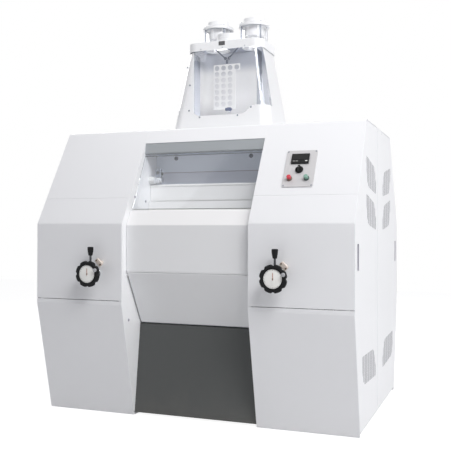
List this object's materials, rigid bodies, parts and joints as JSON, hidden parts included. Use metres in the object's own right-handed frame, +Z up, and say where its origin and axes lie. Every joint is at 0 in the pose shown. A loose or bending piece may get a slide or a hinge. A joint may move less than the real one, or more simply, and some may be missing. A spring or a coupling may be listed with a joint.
{
  "type": "roller mill",
  "caption": "Enclosed flour roller mill with paired grinding rolls, geared swing arms, feed gates, louvred side doors, roll gap handwheels and a glazed inlet hood.",
  "frame": {"origin": "on the floor under the middle of the machine", "axes": "+X to the right across the front, -Y out of the front that has the control plate, +Z up"},
  "size_m": [1.9, 1.798, 2.465],
  "materials": {
    "white_paint": "satin powder coat",
    "light_grey_paint": "satin powder coat",
    "dark_paint": "satin paint",
    "clear_sheet": "clear polished sheet",
    "steel": "machined or brushed steel",
    "iron": "chilled iron and painted castings",
    "black_plastic": "moulded black plastic",
    "red_plastic": "glossy cap",
    "green_plastic": "glossy cap"
  },
  "bodies": {
    "machine": {"base_frame": "white_paint", "frame_walls": "white_paint", "tie_bars": "steel", "roof_covers": "white_paint", "middle_covers": "white_paint", "skirts": "white_paint", "end_frames": "white_paint", "centre_roof": "white_paint", "window_headers": "light_grey_paint", "kick_panels": "dark_paint", "feed_box": "steel", "discharge_hoppers": "steel", "roll_bearings": "iron", "hood_shell": "white_paint", "hood_window": "clear_sheet", "hood_cap": "white_paint", "sight_glasses": "clear_sheet", "inlet_spouts": "white_paint", "feeler_hanger": "steel", "control_plate": "light_grey_paint", "panel_fittings": "black_plastic", "spindle_bushes": "steel"},
    "front_left_side_door": {"front_left_side_door": "white_paint"},
    "front_right_side_door": {"front_right_side_door": "white_paint"},
    "front_feed_window": {"front_feed_window": "clear_sheet"},
    "front_roll_door": {"front_roll_door": "light_grey_paint"},
    "front_lower_flap": {"front_lower_flap": "light_grey_paint"},
    "front_feed_gate": {"front_feed_gate": "steel"},
    "front_feed_roll": {"front_feed_roll": "steel"},
    "front_fast_roll": {"front_fast_roll": "iron", "front_fast_gear": "steel", "front_belt_pulley": "iron"},
    "front_roll_arms": {"front_roll_arms": "iron"},
    "front_slow_roll": {"front_slow_roll": "iron", "front_slow_gear": "steel"},
    "front_left_handwheel": {"front_left_handwheel": "black_plastic"},
    "front_left_lever": {"front_left_lever": "black_plastic"},
    "front_right_handwheel": {"front_right_handwheel": "black_plastic"},
    "front_right_lever": {"front_right_lever": "black_plastic"},
    "rear_left_side_door": {"rear_left_side_door": "white_paint"},
    "rear_right_side_door": {"rear_right_side_door": "white_paint"},
    "rear_feed_window": {"rear_feed_window": "clear_sheet"},
    "rear_roll_door": {"rear_roll_door": "light_grey_paint"},
    "rear_lower_flap": {"rear_lower_flap": "light_grey_paint"},
    "rear_feed_gate": {"rear_feed_gate": "steel"},
    "rear_feed_roll": {"rear_feed_roll": "steel"},
    "rear_fast_roll": {"rear_fast_roll": "iron", "rear_fast_gear": "steel", "rear_belt_pulley": "iron"},
    "rear_roll_arms": {"rear_roll_arms": "iron"},
    "rear_slow_roll": {"rear_slow_roll": "iron", "rear_slow_gear": "steel"},
    "rear_left_handwheel": {"rear_left_handwheel": "black_plastic"},
    "rear_left_lever": {"rear_left_lever": "black_plastic"},
    "rear_right_handwheel": {"rear_right_handwheel": "black_plastic"},
    "rear_right_lever": {"rear_right_lever": "black_plastic"},
    "selector_knob": {"selector_knob": "black_plastic"},
    "stop_button": {"stop_button": "red_plastic"},
    "start_button": {"start_button": "green_plastic"},
    "feeler_plate": {"feeler_plate": "clear_sheet"}
  },
  "joints": [
    {"name": "front_left_side_door_hinge", "type": "hinge", "parent": "machine", "child": "front_left_side_door", "pos_m": [-0.941, -0.072, 0.858], "axis": [0, 0, -1], "range_deg": [0, 90]},
    {"name": "front_right_side_door_hinge", "type": "hinge", "parent": "machine", "child": "front_right_side_door", "pos_m": [0.941, -0.072, 0.858], "axis": [0, 0, 1], "range_deg": [0, 90]},
    {"name": "front_feed_window_hinge", "type": "hinge", "parent": "machine", "child": "front_feed_window", "pos_m": [0, -0.49, 1.536], "axis": [-1, 0, 0], "range_deg": [0, 65]},
    {"name": "front_roll_door_hinge", "type": "hinge", "parent": "machine", "child": "front_roll_door", "pos_m": [0, -0.721, 0.862], "axis": [1, 0, 0], "range_deg": [0, 95]},
    {"name": "front_lower_flap_hinge", "type": "hinge", "parent": "machine", "child": "front_lower_flap", "pos_m": [0, -0.717, 0.828], "axis": [-1, 0, 0], "range_deg": [0, 60]},
    {"name": "front_feed_gate_hinge", "type": "hinge", "parent": "machine", "child": "front_feed_gate", "pos_m": [0, -0.418, 1.356], "axis": [-1, 0, 0], "range_deg": [0, 12]},
    {"name": "front_feed_roll_spin", "type": "hinge", "parent": "machine", "child": "front_feed_roll", "pos_m": [0, -0.318, 1.2], "axis": [1, 0, 0], "continuous": true},
    {"name": "front_fast_roll_spin", "type": "hinge", "parent": "machine", "child": "front_fast_roll", "pos_m": [0, -0.226, 0.79], "axis": [1, 0, 0], "continuous": true},
    {"name": "front_roll_arms_swing", "type": "hinge", "parent": "machine", "child": "front_roll_arms", "pos_m": [0, -0.33, 0.54], "axis": [-1, 0, 0], "range_deg": [0, 0.8]},
    {"name": "front_slow_roll_spin", "type": "hinge", "parent": "front_roll_arms", "child": "front_slow_roll", "pos_m": [0, -0.48, 0.79], "axis": [1, 0, 0], "continuous": true},
    {"name": "front_left_handwheel_turn", "type": "hinge", "parent": "machine", "child": "front_left_handwheel", "pos_m": [-0.548, -0.78, 0.836], "axis": [0, -1, 0], "range_deg": [-1080, 1080]},
    {"name": "front_left_lever_turn", "type": "hinge", "parent": "machine", "child": "front_left_lever", "pos_m": [-0.548, -0.78, 0.836], "axis": [0, -1, 0], "range_deg": [0, 40]},
    {"name": "front_right_handwheel_turn", "type": "hinge", "parent": "machine", "child": "front_right_handwheel", "pos_m": [0.548, -0.78, 0.836], "axis": [0, -1, 0], "range_deg": [-1080, 1080]},
    {"name": "front_right_lever_turn", "type": "hinge", "parent": "machine", "child": "front_right_lever", "pos_m": [0.548, -0.78, 0.836], "axis": [0, 1, 0], "range_deg": [0, 40]},
    {"name": "rear_left_side_door_hinge", "type": "hinge", "parent": "machine", "child": "rear_left_side_door", "pos_m": [-0.941, 0.072, 0.858], "axis": [0, 0, 1], "range_deg": [0, 90]},
    {"name": "rear_right_side_door_hinge", "type": "hinge", "parent": "machine", "child": "rear_right_side_door", "pos_m": [0.941, 0.072, 0.858], "axis": [0, 0, -1], "range_deg": [0, 90]},
    {"name": "rear_feed_window_hinge", "type": "hinge", "parent": "machine", "child": "rear_feed_window", "pos_m": [0, 0.49, 1.536], "axis": [1, 0, 0], "range_deg": [0, 65]},
    {"name": "rear_roll_door_hinge", "type": "hinge", "parent": "machine", "child": "rear_roll_door", "pos_m": [0, 0.721, 0.862], "axis": [-1, 0, 0], "range_deg": [0, 95]},
    {"name": "rear_lower_flap_hinge", "type": "hinge", "parent": "machine", "child": "rear_lower_flap", "pos_m": [0, 0.717, 0.828], "axis": [1, 0, 0], "range_deg": [0, 60]},
    {"name": "rear_feed_gate_hinge", "type": "hinge", "parent": "machine", "child": "rear_feed_gate", "pos_m": [0, 0.418, 1.356], "axis": [1, 0, 0], "range_deg": [0, 12]},
    {"name": "rear_feed_roll_spin", "type": "hinge", "parent": "machine", "child": "rear_feed_roll", "pos_m": [0, 0.318, 1.2], "axis": [1, 0, 0], "continuous": true},
    {"name": "rear_fast_roll_spin", "type": "hinge", "parent": "machine", "child": "rear_fast_roll", "pos_m": [0, 0.226, 0.79], "axis": [1, 0, 0], "continuous": true},
    {"name": "rear_roll_arms_swing", "type": "hinge", "parent": "machine", "child": "rear_roll_arms", "pos_m": [0, 0.33, 0.54], "axis": [1, 0, 0], "range_deg": [0, 0.8]},
    {"name": "rear_slow_roll_spin", "type": "hinge", "parent": "rear_roll_arms", "child": "rear_slow_roll", "pos_m": [0, 0.48, 0.79], "axis": [1, 0, 0], "continuous": true},
    {"name": "rear_left_handwheel_turn", "type": "hinge", "parent": "machine", "child": "rear_left_handwheel", "pos_m": [-0.548, 0.78, 0.836], "axis": [0, 1, 0], "range_deg": [-1080, 1080]},
    {"name": "rear_left_lever_turn", "type": "hinge", "parent": "machine", "child": "rear_left_lever", "pos_m": [-0.548, 0.78, 0.836], "axis": [0, -1, 0], "range_deg": [0, 40]},
    {"name": "rear_right_handwheel_turn", "type": "hinge", "parent": "machine", "child": "rear_right_handwheel", "pos_m": [0.548, 0.78, 0.836], "axis": [0, 1, 0], "range_deg": [-1080, 1080]},
    {"name": "rear_right_lever_turn", "type": "hinge", "parent": "machine", "child": "rear_right_lever", "pos_m": [0.548, 0.78, 0.836], "axis": [0, 1, 0], "range_deg": [0, 40]},
    {"name": "selector_knob_turn", "type": "hinge", "parent": "machine", "child": "selector_knob", "pos_m": [0.6165, -0.6112, 1.41372], "axis": [0, -0.858, 0.5136], "range_deg": [-45, 45]},
    {"name": "stop_button_press", "type": "slide", "parent": "machine", "child": "stop_button", "axis": [0, 0.858, -0.5136], "range_m": [0, 0.003], "stiffness_N_per_m": 400},
    {"name": "start_button_press", "type": "slide", "parent": "machine", "child": "start_button", "axis": [0, 0.858, -0.5136], "range_m": [0, 0.003], "stiffness_N_per_m": 400},
    {"name": "feeler_plate_swing", "type": "hinge", "parent": "machine", "child": "feeler_plate", "pos_m": [0, -0.1, 2.186], "axis": [1, 0, 0], "range_deg": [-12, 12]}
  ],
  "couplings": [
    {"joint": "front_slow_roll_spin", "follows": "front_fast_roll_spin", "ratio": -0.63158},
    {"joint": "front_left_lever_turn", "follows": "front_roll_arms_swing", "ratio": 50},
    {"joint": "front_right_lever_turn", "follows": "front_roll_arms_swing", "ratio": 50},
    {"joint": "rear_slow_roll_spin", "follows": "rear_fast_roll_spin", "ratio": -0.63158},
    {"joint": "rear_left_lever_turn", "follows": "rear_roll_arms_swing", "ratio": 50},
    {"joint": "rear_right_lever_turn", "follows": "rear_roll_arms_swing", "ratio": 50}
  ]
}
